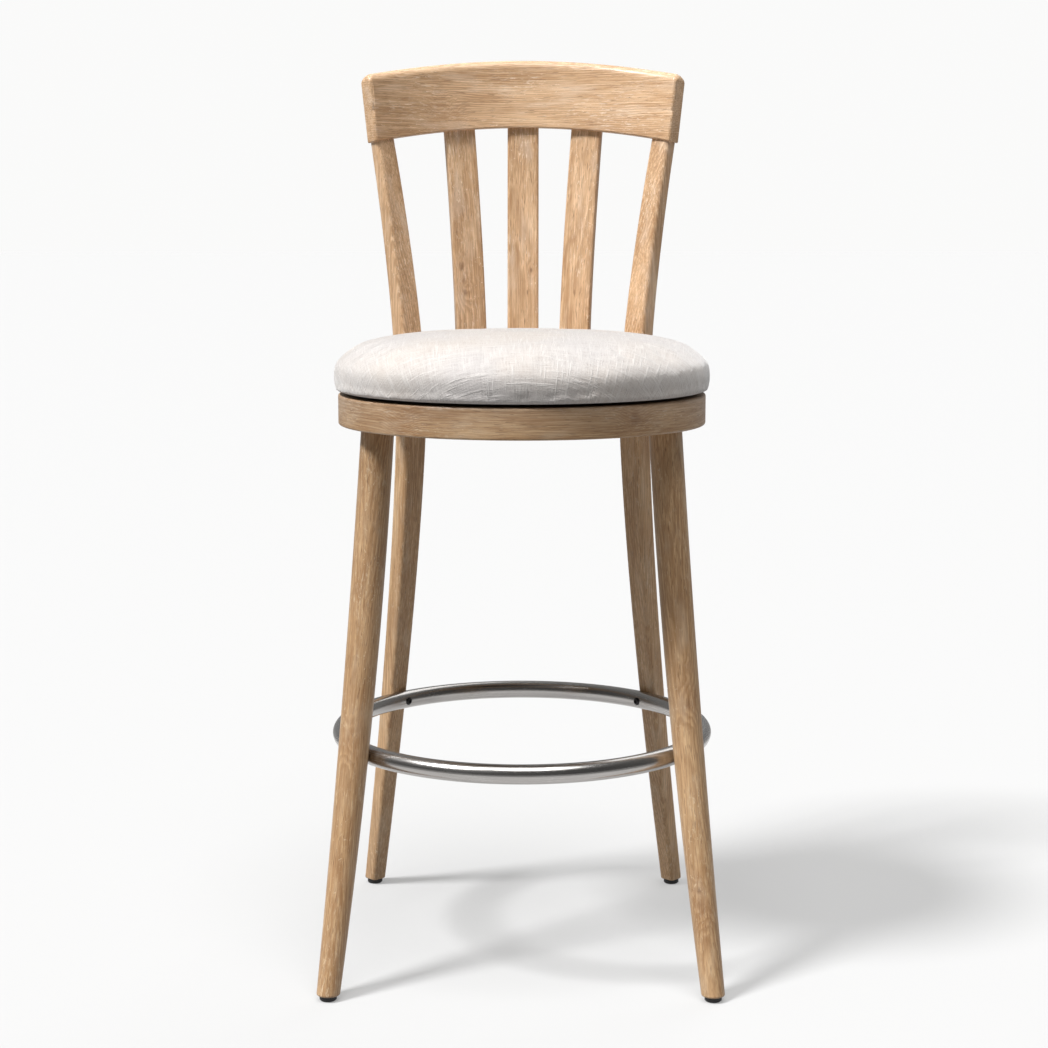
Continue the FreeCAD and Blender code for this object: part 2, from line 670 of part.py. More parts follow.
def make_leg_notch(side, sign):
    """The square notch in the rim of the seat ring that a rear leg passes through."""
    notch = doc.addObject("Part::Box", f"rear_{side}_notch")
    notch.setExpression("Length", "dims.ring_radius - dims.notch_radius + dims.notch_margin")
    notch.setExpression("Width", "dims.notch_width")
    notch.setExpression("Height", "dims.ring_height + 2 * dims.notch_margin")
    outward = rear_leg_direction()
    turn = FreeCAD.Rotation(Z_AXIS, outward if sign > 0 else 180 - outward)
    corner = turn.multVec(
        FreeCAD.Vector(size("dims.notch_radius"), -size("dims.notch_width") / 2, 0))
    bottom = size("dims.ring_bottom - dims.notch_margin")
    notch.Placement = on_axis(corner.x, corner.y, bottom, turn)
    return notch


def make_seat_ring():
    """The flat ring with its four outer and inner edges softened."""
    body = turned("seat_ring_blank", [
        ("dims.ring_hole_radius", 0), ("dims.ring_radius", 0),
        ("dims.ring_radius", "dims.ring_height"), ("dims.ring_hole_radius", "dims.ring_height")])
    body.setExpression(".Placement.Base.z", "dims.ring_bottom")
    return fillet("seat_ring_softened", body,
                  [(lambda edge: "Circle" in edge.Curve.TypeId, "dims.ring_edge_round")])


def make_foot_tube():
    """A round tube bent into a closed ring and welded."""
    body = new_body("foot_tube")
    sketch = new_sketch(body, "foot_tube_section", "XZ_Plane")
    for radius in ("dims.tube_radius", "dims.tube_radius - dims.tube_wall"):
        centre = FreeCAD.Vector(size("dims.foot_ring_radius"), size("dims.foot_ring_height"), 0)
        edge = sketch.addGeometry(Part.Circle(centre, Z_AXIS, size(radius)))
        hold_point(sketch, edge, 3, "dims.foot_ring_radius", "dims.foot_ring_height")
        hold(sketch, "Radius", edge, to=radius)
    revolve(body, sketch)
    return body


# ---------------------------------------------------------------- upholstered seat panel

BOARD_Z = f"{SEAT_Z} + dims.spacer_height + dims.dust_height + dims.cover_thickness"


def make_seat_plate(name, inset, bottom, height):
    """A level plate with the plan of the seat: a circle drawn in at the back by the posts.

    The inset is how far its edge lies inside the cushion's widest edge.
    """
    body = new_body(name)
    sketch = new_sketch(body, name + "_plan")
    place_sketch(sketch, 0, 0, bottom)
    turn = math.radians(size("dims.pad_back_angle"))
    angles = ((math.pi - turn, 2 * math.pi + turn), (turn, math.pi - turn))
    radii = (f"dims.pad_radius - ({inset})", f"dims.pad_back_radius - ({inset})")
    for radius, (start, end) in zip(radii, angles):
        circle = Part.Circle(FreeCAD.Vector(), Z_AXIS, size(radius))
        arc = sketch.addGeometry(Part.ArcOfCircle(circle, start, end))
        sketch.addConstraint(Sketcher.Constraint("Block", arc))
    for front_end, back_end in ((1, 2), (2, 1)):
        line = sketch.addGeometry(
            Part.LineSegment(sketch.getPoint(0, front_end), sketch.getPoint(1, back_end)))
        sketch.addConstraint(Sketcher.Constraint("Coincident", line, 1, 0, front_end))
        sketch.addConstraint(Sketcher.Constraint("Coincident", line, 2, 1, back_end))
    pad(body, sketch, height)
    return body


def make_pad_form(name, inset):
    """The crowned cushion, its surface moved in by an inset, in the plan of the seat."""
    body = new_body(name + "_dome")
    sketch = new_sketch(body, name + "_outline", "XZ_Plane")
    inset = size(inset)
    seat = size(SEAT_Z)
    foot = FreeCAD.Vector(size("dims.pad_foot_radius") - inset,
                          size("dims.spacer_height + dims.dust_height") + inset + seat, 0)
    widest = FreeCAD.Vector(size("dims.pad_radius") - inset, size("dims.pad_widest") + seat, 0)
    shoulder = FreeCAD.Vector(size("dims.pad_shoulder_radius") - inset / 2,
                              size("dims.pad_shoulder") + seat - inset, 0)
    crown = FreeCAD.Vector(0, size("dims.pad_crown") + seat - inset, 0)
    base = FreeCAD.Vector(0, foot.y, 0)
    bulge = size("dims.pad_side_bulge")
    side = (widest + shoulder) / 2 + FreeCAD.Vector(bulge, bulge, 0)
    dome_radius = (shoulder.x ** 2 + (crown.y - shoulder.y) ** 2) / (2 * (crown.y - shoulder.y))
    half_way = shoulder.x / 2
    drop = dome_radius - math.sqrt(dome_radius ** 2 - half_way ** 2)
    for edge in (Part.LineSegment(base, foot), Part.LineSegment(foot, widest),
                 Part.Arc(widest, side, shoulder),
                 Part.Arc(shoulder, FreeCAD.Vector(half_way, crown.y - drop, 0), crown),
                 Part.LineSegment(crown, base)):
        sketch.addGeometry(edge)
    for edge in range(5):
        sketch.addConstraint(Sketcher.Constraint("Block", edge))
    revolve(body, sketch)
    plan = make_seat_plate(name + "_plan_form", inset, SEAT_Z,
                           "dims.pad_crown + dims.plan_form_margin")
    return combine("Part::MultiCommon", name, [body, plan])


def make_staples():
    """Staples that hold the cover's hem and the dust cover to the underside of the board."""
    wire, width, leg = (size(f"dims.staple_{part}") for part in ("wire", "width", "leg"))
    count = round(size("dims.staple_count"))
    bottom = size(f"{SEAT_Z} + dims.spacer_height") - wire
    shoulder = size("dims.pad_back_angle")
    staples = []
    for number in range(count):
        angle = 360 * number / count + size("dims.staple_start_angle")
        at_back = shoulder < angle < 180 - shoulder
        edge = size("dims.pad_back_radius" if at_back else "dims.pad_radius")
        radius = edge - size("dims.staple_inset")
        boxes = []
        for offset, length, tall in ((-width / 2, width, wire), (-width / 2, wire, leg),
                                     (width / 2 - wire, wire, leg)):
            box = doc.addObject("Part::Box", f"staple_{number}_{len(boxes)}")
            box.Length, box.Width, box.Height = wire, length, tall
            turn = FreeCAD.Rotation(Z_AXIS, angle)
            corner = turn.multVec(FreeCAD.Vector(radius, offset, 0))
            box.Placement = on_axis(corner.x, corner.y, bottom, turn)
            boxes.append(box)
        staples.append(combine("Part::MultiFuse", f"staple_{number}", boxes))
    return combine_group("cover_staples", staples)


# ---------------------------------------------------------------- assembly

pieces = {}

footrest_screws = make_foot_screws()
rear_leg_bolts, rear_leg_washers, rear_leg_inserts, bolt_sinks = make_leg_bolts()
seat_screws, seat_screw_sinks, seat_tee_nuts = make_seat_screws()
glide_nails = make_glides()
pieces.update({
    "footrest_screws": footrest_screws, "rear_leg_bolts": rear_leg_bolts,
    "rear_leg_washers": rear_leg_washers, "rear_leg_inserts": rear_leg_inserts,
    "seat_screws": seat_screws, "seat_tee_nuts": seat_tee_nuts, "glide_nails": glide_nails})

foot_tube = make_foot_tube()
pieces["footrest_ring"] = cut("footrest_ring", foot_tube, [footrest_screws])

tube_envelope = doc.addObject("Part::Torus", "tube_envelope")
tube_envelope.setExpression("Radius1", "dims.foot_ring_radius")
tube_envelope.setExpression("Radius2", "dims.tube_radius")
tube_envelope.setExpression(".Placement.Base.y", "dims.axis_y")
tube_envelope.setExpression(".Placement.Base.z", "dims.foot_ring_height")

for side, sign in SIDES:
    front_leg = soften_foot(f"front_leg_{side}_softened", make_front_leg(side, sign))
    pieces[f"front_leg_{side}"] = cut(
        f"front_leg_{side}", front_leg, [tube_envelope, footrest_screws, glide_nails])
    rear_leg = soften_foot(f"rear_leg_{side}_softened", make_rear_leg(side, sign))
    pieces[f"rear_leg_{side}"] = cut(
        f"rear_leg_{side}", rear_leg,
        [tube_envelope, footrest_screws, glide_nails, rear_leg_bolts, rear_leg_inserts])
for side, sign in SLAT_SIDES:
    pieces[f"back_slat_{side}"] = make_slat(side, sign)

pieces["crest_rail"] = cut("crest_rail", make_crest_blank(), make_crest_housings())
ring_room = [make_slat_mortise(side, sign) for side, sign in SLAT_SIDES]
ring_room += [make_leg_mortise(side, sign) for side, sign in SIDES]
ring_room += [make_leg_notch(side, sign) for side, sign in SIDES]
pieces["seat_ring"] = cut(
    "seat_ring", make_seat_ring(),
    ring_room + [bolt_sinks, rear_leg_bolts, seat_screw_sinks, seat_screws])

spacer = turned("spacer_blank", [
    ("dims.ring_hole_radius", 0), ("dims.spacer_radius", 0),
    ("dims.spacer_radius", "dims.spacer_height"), ("dims.ring_hole_radius", "dims.spacer_height")])
spacer.setExpression(".Placement.Base.z", SEAT_Z)
pieces["spacer_ring"] = cut("spacer_ring", spacer, [seat_screws])

cover_staples = make_staples()
pieces["cover_staples"] = cover_staples
dust_blank = make_seat_plate("dust_cover_blank", "dims.dust_inset",
                             f"{SEAT_Z} + dims.spacer_height", "dims.dust_height")
pieces["dust_cover"] = cut("dust_cover", dust_blank, [seat_screws, cover_staples])
board_blank = make_seat_plate("seat_board_blank", "dims.board_inset", BOARD_Z,
                              "dims.board_height")
pieces["seat_board"] = cut("seat_board", board_blank, [seat_screws, seat_tee_nuts, cover_staples])

cushion = make_pad_form("cushion_form", 0)
foam_form = make_pad_form("foam_form", "dims.cover_thickness")
under_board = make_seat_plate("hem_opening", "dims.hem_inset",
                              f"{SEAT_Z} + dims.spacer_height", "dims.board_height")
pieces["seat_foam"] = cut("seat_foam", foam_form, [board_blank, seat_tee_nuts])
pieces["seat_cover"] = cut("seat_cover", cushion, [foam_form, under_board, cover_staples])

doc.recompute()

for item in doc.Objects:
    if set(item.State) & {"Invalid", "Error"}:
        raise RuntimeError(f"{item.Name} did not compute: {item.State}")
os.makedirs("parts", exist_ok=True)
for label, item in pieces.items():
    shape = item.Shape
    if shape.isNull() or not shape.isValid() or shape.Volume <= 0:
        raise RuntimeError(f"{label} is not a sound solid")
for label, item in pieces.items():
    item.Label = label
    item.Shape.exportStep(f"parts/{label}.step")
    print(label, len(item.Shape.Solids), round(item.Shape.Volume / 1000, 2), "cm3")
box = FreeCAD.BoundBox()
for item in pieces.values():
    box.add(item.Shape.optimalBoundingBox(False))
print("box", [round(number, 2) for number in (box.XMin, box.XMax, box.YMin, box.YMax,
                                             box.ZMin, box.ZMax)])
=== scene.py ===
"""Looks of the bar stool: oak, linen cushion, satin steel, soft studio light and camera.

Metres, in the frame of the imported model: +Z up, the stool's front towards -Y.
"""
import functools
import math

import bmesh
import bpy
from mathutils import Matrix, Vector


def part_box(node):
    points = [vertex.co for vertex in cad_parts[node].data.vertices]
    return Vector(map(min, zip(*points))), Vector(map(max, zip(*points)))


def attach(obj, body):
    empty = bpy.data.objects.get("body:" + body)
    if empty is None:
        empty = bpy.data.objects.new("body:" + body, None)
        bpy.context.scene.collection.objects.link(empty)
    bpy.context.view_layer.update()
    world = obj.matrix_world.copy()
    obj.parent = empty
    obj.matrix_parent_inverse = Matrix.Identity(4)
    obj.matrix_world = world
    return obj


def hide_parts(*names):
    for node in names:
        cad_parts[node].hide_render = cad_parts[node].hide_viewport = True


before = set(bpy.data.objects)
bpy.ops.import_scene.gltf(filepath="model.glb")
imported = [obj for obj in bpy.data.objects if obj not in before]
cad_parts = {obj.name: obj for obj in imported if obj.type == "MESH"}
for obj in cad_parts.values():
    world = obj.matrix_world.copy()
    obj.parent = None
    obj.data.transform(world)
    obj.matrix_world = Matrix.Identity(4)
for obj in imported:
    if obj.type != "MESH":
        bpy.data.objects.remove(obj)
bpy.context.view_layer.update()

# ---------------------------------------------------------------- places taken from the frame

RING_LOW, RING_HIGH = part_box("seat_ring")
TUBE_LOW, TUBE_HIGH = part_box("footrest_ring")
COVER_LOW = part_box("seat_cover")[0]
SEAT_Y = (TUBE_LOW.y + TUBE_HIGH.y) / 2
RING_RADIUS = (RING_HIGH.x - RING_LOW.x) / 2

# ---------------------------------------------------------------- camera

CAMERA_DISTANCE = 2.538      # in front of the seat's axis
CAMERA_RISE = 0.2382         # above the underside of the seat ring
CAMERA_OFFSET = 0.0025       # to the right of the seat's axis
CAMERA_PITCH = 8.113         # degrees below the horizon
CAMERA_ORBIT = 0.34          # degrees round the seat's axis, towards the right
CAMERA_LENS = 72.69          # for a sensor 36 mm wide


def add_camera():
    """The camera in front of the stool, a little above the seat and looking slightly down."""
    data = bpy.data.cameras.new("camera")
    data.lens = CAMERA_LENS
    data.sensor_width = 36
    camera = bpy.data.objects.new("camera", data)
    orbit = math.radians(CAMERA_ORBIT)
    camera.location = (CAMERA_OFFSET + CAMERA_DISTANCE * math.sin(orbit),
                       SEAT_Y - CAMERA_DISTANCE * math.cos(orbit), RING_LOW.z + CAMERA_RISE)
    camera.rotation_euler = (math.radians(90 - CAMERA_PITCH), 0, orbit)
    bpy.context.scene.collection.objects.link(camera)
    bpy.context.scene.camera = camera


# ---------------------------------------------------------------- node helpers

class Tree:
    """A short way to write a shader's nodes: inputs are numbers, colours or other sockets."""

    def __init__(self, tree):
        self.tree = tree

    def add(self, kind, inputs=None, **settings):
        """A new node of a kind, with its settings and its inputs filled in."""
        node = self.tree.nodes.new(kind)
        for name, value in settings.items():
            setattr(node, name, value)
        for name, value in (inputs or {}).items():
            self.feed(node.inputs[name], value)
        return node

    def feed(self, socket, value):
        """Link another socket into this one, or set its value."""
        if isinstance(value, bpy.types.NodeSocket):
            self.tree.links.new(value, socket)
        else:
            socket.default_value = value

    def math(self, operation, *values):
        """A Math node's result."""
        node = self.add("ShaderNodeMath", operation=operation)
        for socket, value in zip(node.inputs, values):
            self.feed(socket, value)
        return node.outputs[0]

    def vector(self, operation, *values):
        """A Vector Math node's vector result."""
        node = self.add("ShaderNodeVectorMath", operation=operation)
        for socket, value in zip(node.inputs, values):
            self.feed(socket, value)
        return node.outputs["Vector"]

    def length(self, vector):
        """How long a vector is."""
        node = self.add("ShaderNodeVectorMath", operation="LENGTH")
        self.feed(node.inputs[0], vector)
        return node.outputs["Value"]

    def combine(self, x, y, z):
        """A vector from three numbers."""
        return self.add("ShaderNodeCombineXYZ", {"X": x, "Y": y, "Z": z}).outputs[0]

    def split(self, vector):
        """A vector's three numbers."""
        return self.add("ShaderNodeSeparateXYZ", {"Vector": vector}).outputs

    def noise(self, vector, scale=1.0, detail=2.0, roughness=0.5, distortion=0.0):
        """Noise between 0 and 1."""
        node = self.add("ShaderNodeTexNoise", {
            "Vector": vector, "Scale": scale, "Detail": detail, "Roughness": roughness,
            "Distortion": distortion})
        return node.outputs["Fac"]

    def ramp(self, factor, low, high, start=0.0, end=1.0):
        """A smooth change from one number to another as the factor goes from low to high."""
        node = self.add("ShaderNodeMapRange", {
            "Value": factor, "From Min": low, "From Max": high, "To Min": start, "To Max": end},
            interpolation_type="SMOOTHSTEP")
        return node.outputs["Result"]

    def mix(self, factor, first, second, blend="MIX"):
        """A mix of two colours."""
        node = self.add("ShaderNodeMix", data_type="RGBA", blend_type=blend)
        for socket, value in ((node.inputs[0], factor), (node.inputs[6], first),
                              (node.inputs[7], second)):
            self.feed(socket, value)
        return node.outputs[2]

    def between(self, factor, first, second):
        """A mix of two numbers."""
        node = self.add("ShaderNodeMix", data_type="FLOAT")
        for socket, value in ((node.inputs[0], factor), (node.inputs[2], first),
                              (node.inputs[3], second)):
            self.feed(socket, value)
        return node.outputs[0]

    def bump(self, height, distance, strength=1.0, normal=None):
        """A bumped normal; the distance is in metres."""
        inputs = {"Height": height, "Distance": distance, "Strength": strength}
        if normal is not None:
            inputs["Normal"] = normal
        return self.add("ShaderNodeBump", inputs).outputs["Normal"]


def new_material(name):
    """A material with an empty node tree, its Tree and its Principled shader."""
    material = bpy.data.materials.new(name)
    material.use_nodes = True
    material.node_tree.nodes.clear()
    tree = Tree(material.node_tree)
    shader = tree.add("ShaderNodeBsdfPrincipled")
    tree.add("ShaderNodeOutputMaterial", {"Surface": shader.outputs[0]})
    return material, tree, shader


def rgb(red, green, blue):
    """A colour from its screen values out of 255."""
    def linear(value):
        value /= 255
        return value / 12.92 if value <= 0.04045 else ((value + 0.055) / 1.055) ** 2.4
    return (linear(red), linear(green), linear(blue), 1.0)


def paint(node, material):
    """Give a whole object one material."""
    node.data.materials.clear()
    node.data.materials.append(material)


# ---------------------------------------------------------------- oak

RINGS_PER_METRE = 340
HEART = (-0.035, -0.021)     # the tree's heart beside the piece, in grain coordinates
KNOTS = {                    # where knots and swirls show: x, y, z, radius, depth
    "front_leg_left": ((-0.178, -0.150, 0.438, 0.0022, 0.8), (-0.196, -0.185, 0.285, 0.005, 0)),
    "front_leg_right": ((0.192, -0.166, 0.368, 0.002, 0.7), (0.193, -0.170, 0.328, 0.0045, 0.35),
                        (0.203, -0.226, 0.122, 0.003, 0.8), (0.206, -0.222, 0.105, 0.005, 0.25)),
    "rear_leg_left": ((-0.158, 0.150, 0.370, 0.0035, 0.5), (-0.152, 0.147, 0.430, 0.006, 0)),
    "back_slat_left": ((-0.079, 0.195, 0.820, 0.0042, 0.62), (-0.076, 0.194, 0.803, 0.0035, 0.45),
                       (-0.074, 0.192, 0.787, 0.004, 0.55), (-0.083, 0.21, 0.886, 0.006, 0)),
    "back_slat_centre": ((0.0105, 0.205, 0.815, 0.0022, 0.8),),
    "back_slat_right": ((0.086, 0.205, 0.775, 0.004, 0),),
    "crest_rail": ((-0.107, 0.205, 1.004, 0.007, 0), (-0.086, 0.21, 1.001, 0.005, 0)),
    "seat_ring": ((-0.135, -0.183, 0.650, 0.006, 0), (0.128, -0.188, 0.660, 0.006, 0.3)),
}
SHADE_TONES = {                    # painted shade and light: how dark or pale each piece is painted below the seat and above it
    "front_leg": (0.85, 0.85), "rear_leg": (1.0, 1.18), "back_slat": (1.22, 1.22),
    "crest_rail": (1.22, 1.22), "seat_ring": (0.82, 0.82),
}
CREST_RADIUS = 0.306         # the crest rail's bend in plan
CREST_REACH = 0.240          # from the seat's axis back to the crest rail


def straight_grain(tree, start, end, offset):
    """Grain coordinates of a piece whose fibres run straight from one point to another.

    The result's Z runs along the grain and its X and Y across it, all in metres.
    """
    axis = (Vector(end) - Vector(start)).normalized()
    across = Vector((0, 1, 0)).cross(axis).normalized()
    other = axis.cross(across)
    position = tree.add("ShaderNodeTexCoord").outputs["Object"]
    moved = tree.vector("SUBTRACT", position, tuple(start))
    parts = []
    for direction in (across, other, axis):
        node = tree.add("ShaderNodeVectorMath", operation="DOT_PRODUCT")
        tree.feed(node.inputs[0], moved)
        node.inputs[1].default_value = direction
        parts.append(node.outputs["Value"])
    return tree.vector("ADD", tree.combine(*parts), offset)


def curved_grain(tree, centre, radius, offset, front=-1):
    """Grain coordinates of a piece bent round a vertical axis: the fibres follow the bend.

    front is the sign of Y on the side that shows, opposite to where the angle starts again.
    """
    position = tree.add("ShaderNodeTexCoord").outputs["Object"]
    x, y, z = tree.split(tree.vector("SUBTRACT", position, (centre[0], centre[1], 0)))
    angle = tree.math("ARCTAN2", x, tree.math("MULTIPLY", y, front))
    outward = tree.math("SUBTRACT", tree.length(tree.combine(x, y, 0)), radius)
    along = tree.math("MULTIPLY", angle, radius)
    return tree.vector("ADD", tree.combine(outward, z, along), offset)


def swirls(tree, position, knots):
    """How far knots bend the fibres, and the masks of their dark cores and of their halos.

    Each knot is (x, y, z, radius, depth) in the object's own space and runs through the
    piece along Y; a depth of 0 only swirls the grain.
    """
    bend, cores, halos = 0.0, 0.0, 0.0
    wobble = tree.noise(tree.vector("MULTIPLY", position, (230, 230, 150)), detail=3)
    for x, y, z, radius, depth in knots:
        away = tree.vector("SUBTRACT", position, (x, y, z))
        away = tree.vector("MULTIPLY", away, (1 / radius, 0.2 / radius, 0.6 / radius))
        distance = tree.math("ADD", tree.length(away), wobble)
        core = tree.math("MULTIPLY", tree.ramp(distance, 1.7, 0.7), depth)
        halo = tree.ramp(distance, 5.0, 0.6)
        bend = tree.math("ADD", bend, tree.math("MULTIPLY", halo, 1.6 * radius))
        cores = tree.math("MAXIMUM", cores, core)
        halos = tree.math("MAXIMUM", halos, halo)
    return bend, cores, halos


def growth_rings(tree, place, wander):
    """Bands of distance from the tree's heart, 0 in the early wood and 1 in the late wood."""
    x, y, z = tree.split(place)
    away = tree.combine(tree.math("SUBTRACT", x, HEART[0]), tree.math("SUBTRACT", y, HEART[1]), 0)
    lean = tree.math("MULTIPLY", z, 0.011)
    distance = tree.math("ADD", tree.length(away), tree.math("ADD", wander, lean))
    phase = tree.math("FRACT", tree.math("MULTIPLY", distance, RINGS_PER_METRE))
    return tree.math("MULTIPLY", tree.ramp(phase, 0.0, 0.7), tree.ramp(phase, 0.75, 1.0, 1.0, 0.0))


def oak(name, grain, knots, shade_tones):
    """Limed oak: growth rings, fibre streaks, pores, pale paste in the grain, and knots.

    grain is a function that builds the grain coordinates.  The two tones are painted shade
    and light: they make the piece darker or paler below the seat and above it.
    """
    material, tree, shader = new_material(name)
    place = grain(tree)
    position = tree.add("ShaderNodeTexCoord").outputs["Object"]

    def streaks(across, along, detail=2, **settings):
        """Noise drawn out along the grain: the numbers are cycles per metre."""
        stretched = tree.vector("MULTIPLY", place, (across, across, along))
        return tree.noise(stretched, detail=detail, **settings)

    bend, cores, halos = swirls(tree, position, knots)
    slow_wander = tree.math("MULTIPLY", streaks(14, 3.2), 0.014)
    quick_wander = tree.math("MULTIPLY", streaks(70, 22), 0.0035)
    wander = tree.math("ADD", bend, tree.math("ADD", slow_wander, quick_wander))
    rings = growth_rings(tree, place, wander)

    # body of the wood: broad tone, mottling, pale streaks, rings that fade in and out, fibres
    colour = tree.mix(tree.ramp(streaks(24, 5, detail=3, roughness=0.6), 0.38, 0.62),
                      rgb(186, 150, 113), rgb(212, 177, 140))
    mottle = streaks(120, 13, detail=4, roughness=0.6)
    colour = tree.mix(tree.ramp(mottle, 0.43, 0.65, 0.0, 0.45), colour, rgb(170, 130, 92))
    pale = streaks(460, 13, detail=4, roughness=0.65)
    colour = tree.mix(tree.ramp(pale, 0.44, 0.64, 0.0, 0.5), colour, rgb(234, 205, 170))
    ring_share = tree.math("MULTIPLY", rings, tree.ramp(streaks(22, 7), 0.4, 0.6, 0.15, 0.5))
    colour = tree.mix(ring_share, colour, rgb(146, 107, 72))
    fibres = streaks(1300, 30, detail=3)
    colour = tree.mix(tree.ramp(fibres, 0.46, 0.66, 0.0, 0.5), colour, rgb(150, 110, 75))

    # pores: short dark dashes along the grain, thicker in the early part of each ring
    pores = tree.math("MULTIPLY", tree.ramp(streaks(1100, 75, detail=1), 0.57, 0.67),
                      tree.ramp(rings, 0.0, 0.6, 1.0, 0.35))
    colour = tree.mix(tree.math("MULTIPLY", pores, 0.6), colour, rgb(112, 78, 52))

    # liming: pale paste left in the open grain, in patches and round the swirls
    patch = tree.math("MAXIMUM", tree.ramp(streaks(30, 11), 0.42, 0.66),
                      tree.math("MULTIPLY", halos, 0.8))
    paste_noise = streaks(620, 80, detail=3, roughness=0.7, distortion=0.5)
    paste = tree.math("MULTIPLY", tree.ramp(paste_noise, 0.54, 0.68), patch)
    colour = tree.mix(tree.math("MULTIPLY", paste, 0.62), colour, rgb(238, 221, 200))
    haze = tree.ramp(streaks(60, 16, detail=3), 0.5, 0.75, 0.0, 0.3)
    colour = tree.mix(haze, colour, rgb(226, 208, 188))

    # ray flecks: little pale strokes that cross the fibres
    fleck_noise = tree.noise(tree.vector("MULTIPLY", place, (210, 560, 150)), detail=2,
                             roughness=0.6, distortion=0.9)
    flecks = tree.math("MULTIPLY", tree.ramp(fleck_noise, 0.63, 0.7),
                       tree.ramp(streaks(20, 9, detail=1), 0.45, 0.62))
    colour = tree.mix(tree.math("MULTIPLY", flecks, 0.42), colour, rgb(244, 228, 205))

    colour = tree.mix(tree.math("MULTIPLY", halos, 0.22), colour, rgb(150, 104, 66))
    colour = tree.mix(cores, colour, rgb(98, 62, 40))

    # painted shade: darker and warmer below the seat, where the seat shades the wood
    height = tree.split(position)[2]
    shade_gain = tree.ramp(height, RING_LOW.z, RING_HIGH.z, *shade_tones)
    green = tree.ramp(height, RING_LOW.z, RING_HIGH.z, 0.96, 1.0)
    blue = tree.ramp(height, RING_LOW.z, RING_HIGH.z, 0.86, 1.0)
    shade_tint = tree.combine(shade_gain, tree.math("MULTIPLY", shade_gain, green),
                        tree.math("MULTIPLY", shade_gain, blue))
    tree.feed(shader.inputs["Base Color"], tree.vector("MULTIPLY", colour, shade_tint))

    tree.feed(shader.inputs["Roughness"], tree.ramp(paste_noise, 0.3, 0.8, 0.4, 0.56))
    relief = tree.math("SUBTRACT", tree.math("MULTIPLY", fibres, 0.4), pores)
    relief = tree.math("SUBTRACT", relief, tree.math("MULTIPLY", rings, 0.2))
    relief = tree.math("SUBTRACT", relief, tree.math("MULTIPLY", paste, 0.3))
    tree.feed(shader.inputs["Normal"], tree.bump(relief, 0.00025, 0.6))
    shader.inputs["Coat Weight"].default_value = 0.22
    shader.inputs["Coat Roughness"].default_value = 0.24
    return material


def piece_axis(name):
    """The two ends of a piece's chord: the middles of its lowest and highest vertices."""
    vertices = [vertex.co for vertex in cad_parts[name].data.vertices]
    low = min(co.z for co in vertices)
    high = max(co.z for co in vertices)
    slice_height = 0.02
    bottom = [co for co in vertices if co.z < low + slice_height]
    top = [co for co in vertices if co.z > high - slice_height]
    return (sum(bottom, Vector()) / len(bottom), sum(top, Vector()) / len(top))


def finish_wood():
    """Oak on every wooden piece that shows, each with grain of its own."""
    grains = {}
    straight = ("front_leg_left", "front_leg_right", "rear_leg_left", "rear_leg_right",
                "back_slat_left", "back_slat_centre", "back_slat_right")
    for number, name in enumerate(straight, start=1):
        start, end = piece_axis(name)
        offset = (0.013 * number, 0.17 * number, 0.61 * number)
        grains[name] = functools.partial(straight_grain, start=start, end=end, offset=offset)
    crest_centre = (0.0, SEAT_Y + CREST_REACH - CREST_RADIUS)
    grains["crest_rail"] = functools.partial(curved_grain, centre=crest_centre,
                                             radius=CREST_RADIUS, offset=(0.004, 0.03, 5.1),
                                             front=1)
    grains["seat_ring"] = functools.partial(curved_grain, centre=(0.0, SEAT_Y),
                                            radius=RING_RADIUS, offset=(0.007, 0.01, 7.3))
    for name, grain in grains.items():
        shade_tones = next(pair for start, pair in SHADE_TONES.items() if name.startswith(start))
        paint(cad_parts[name], oak("oak_" + name, grain, KNOTS.get(name, ()), shade_tones))


# ---------------------------------------------------------------- seat cushion

PAD_RADIUS = 0.2265          # widest, round the front and sides
PAD_BACK_RADIUS = 0.190      # drawn in at the back, inside the posts
PAD_SHOULDERS = (33, 43)     # degrees behind the side where the plan draws in
PAD_WIDEST = RING_HIGH.z + 0.024
PAD_CROWN = RING_HIGH.z + 0.074
PAD_UNDERSIDE = COVER_LOW.z - 0.0007       # just clear of the spacer ring
PAD_EDGE = 0.0215            # how far the turned-under edge reaches in from the widest line
PAD_DOME = 2.6               # how square the crown's curve is: 2 is an ellipse
PAD_TUCK = 3.1               # the same for the turned-under edge
PAD_START_INSET = 0.004      # the crown starts this much lower, then swells
PAD_EASE = 0.003             # the sides start this much wider, as the cover draws them in
PAD_SWELL = 0.005            # how far any point may move
SWELL_FRAMES = 20
THREAD_PITCH = 0.0013        # between one thread and the next
THREAD_RUN = 0.022           # how far a thread keeps its thickness
CHECK_PITCH = 0.0017         # side of the squares where warp or weft lies on top
WRAP = 8.4                   # how soon the cloth turns down over the edge


def pad_plan(angle):
    """The pad's widest radius in a direction, an angle from +X towards +Y."""
    behind = math.degrees(math.asin(math.sin(angle)))
    start, end = PAD_SHOULDERS
    share = min(max((behind - start) / (end - start), 0), 1)
    share = share * share * (3 - 2 * share)
    return PAD_RADIUS + (PAD_BACK_RADIUS - PAD_RADIUS) * share


def pad_profile():
    """Half outline from the crown to the underside: (share of the plan radius, height)."""
    crown_steps, edge_steps = 22, 8
    points = []
    for step in range(1, crown_steps + 1):
        turn = math.pi / 2 * step / crown_steps
        rise = (PAD_CROWN - PAD_WIDEST) * math.cos(turn) ** (2 / PAD_DOME)
        points.append((math.sin(turn) ** (2 / PAD_DOME), PAD_WIDEST + rise))
    for step in range(1, edge_steps + 1):
        turn = math.pi / 2 * step / edge_steps
        inward = PAD_EDGE * (1 - math.cos(turn) ** (2 / PAD_TUCK))
        drop = (PAD_WIDEST - PAD_UNDERSIDE) * math.sin(turn) ** (2 / PAD_TUCK)
        points.append((1 - inward / PAD_RADIUS, PAD_WIDEST - drop))
    return points


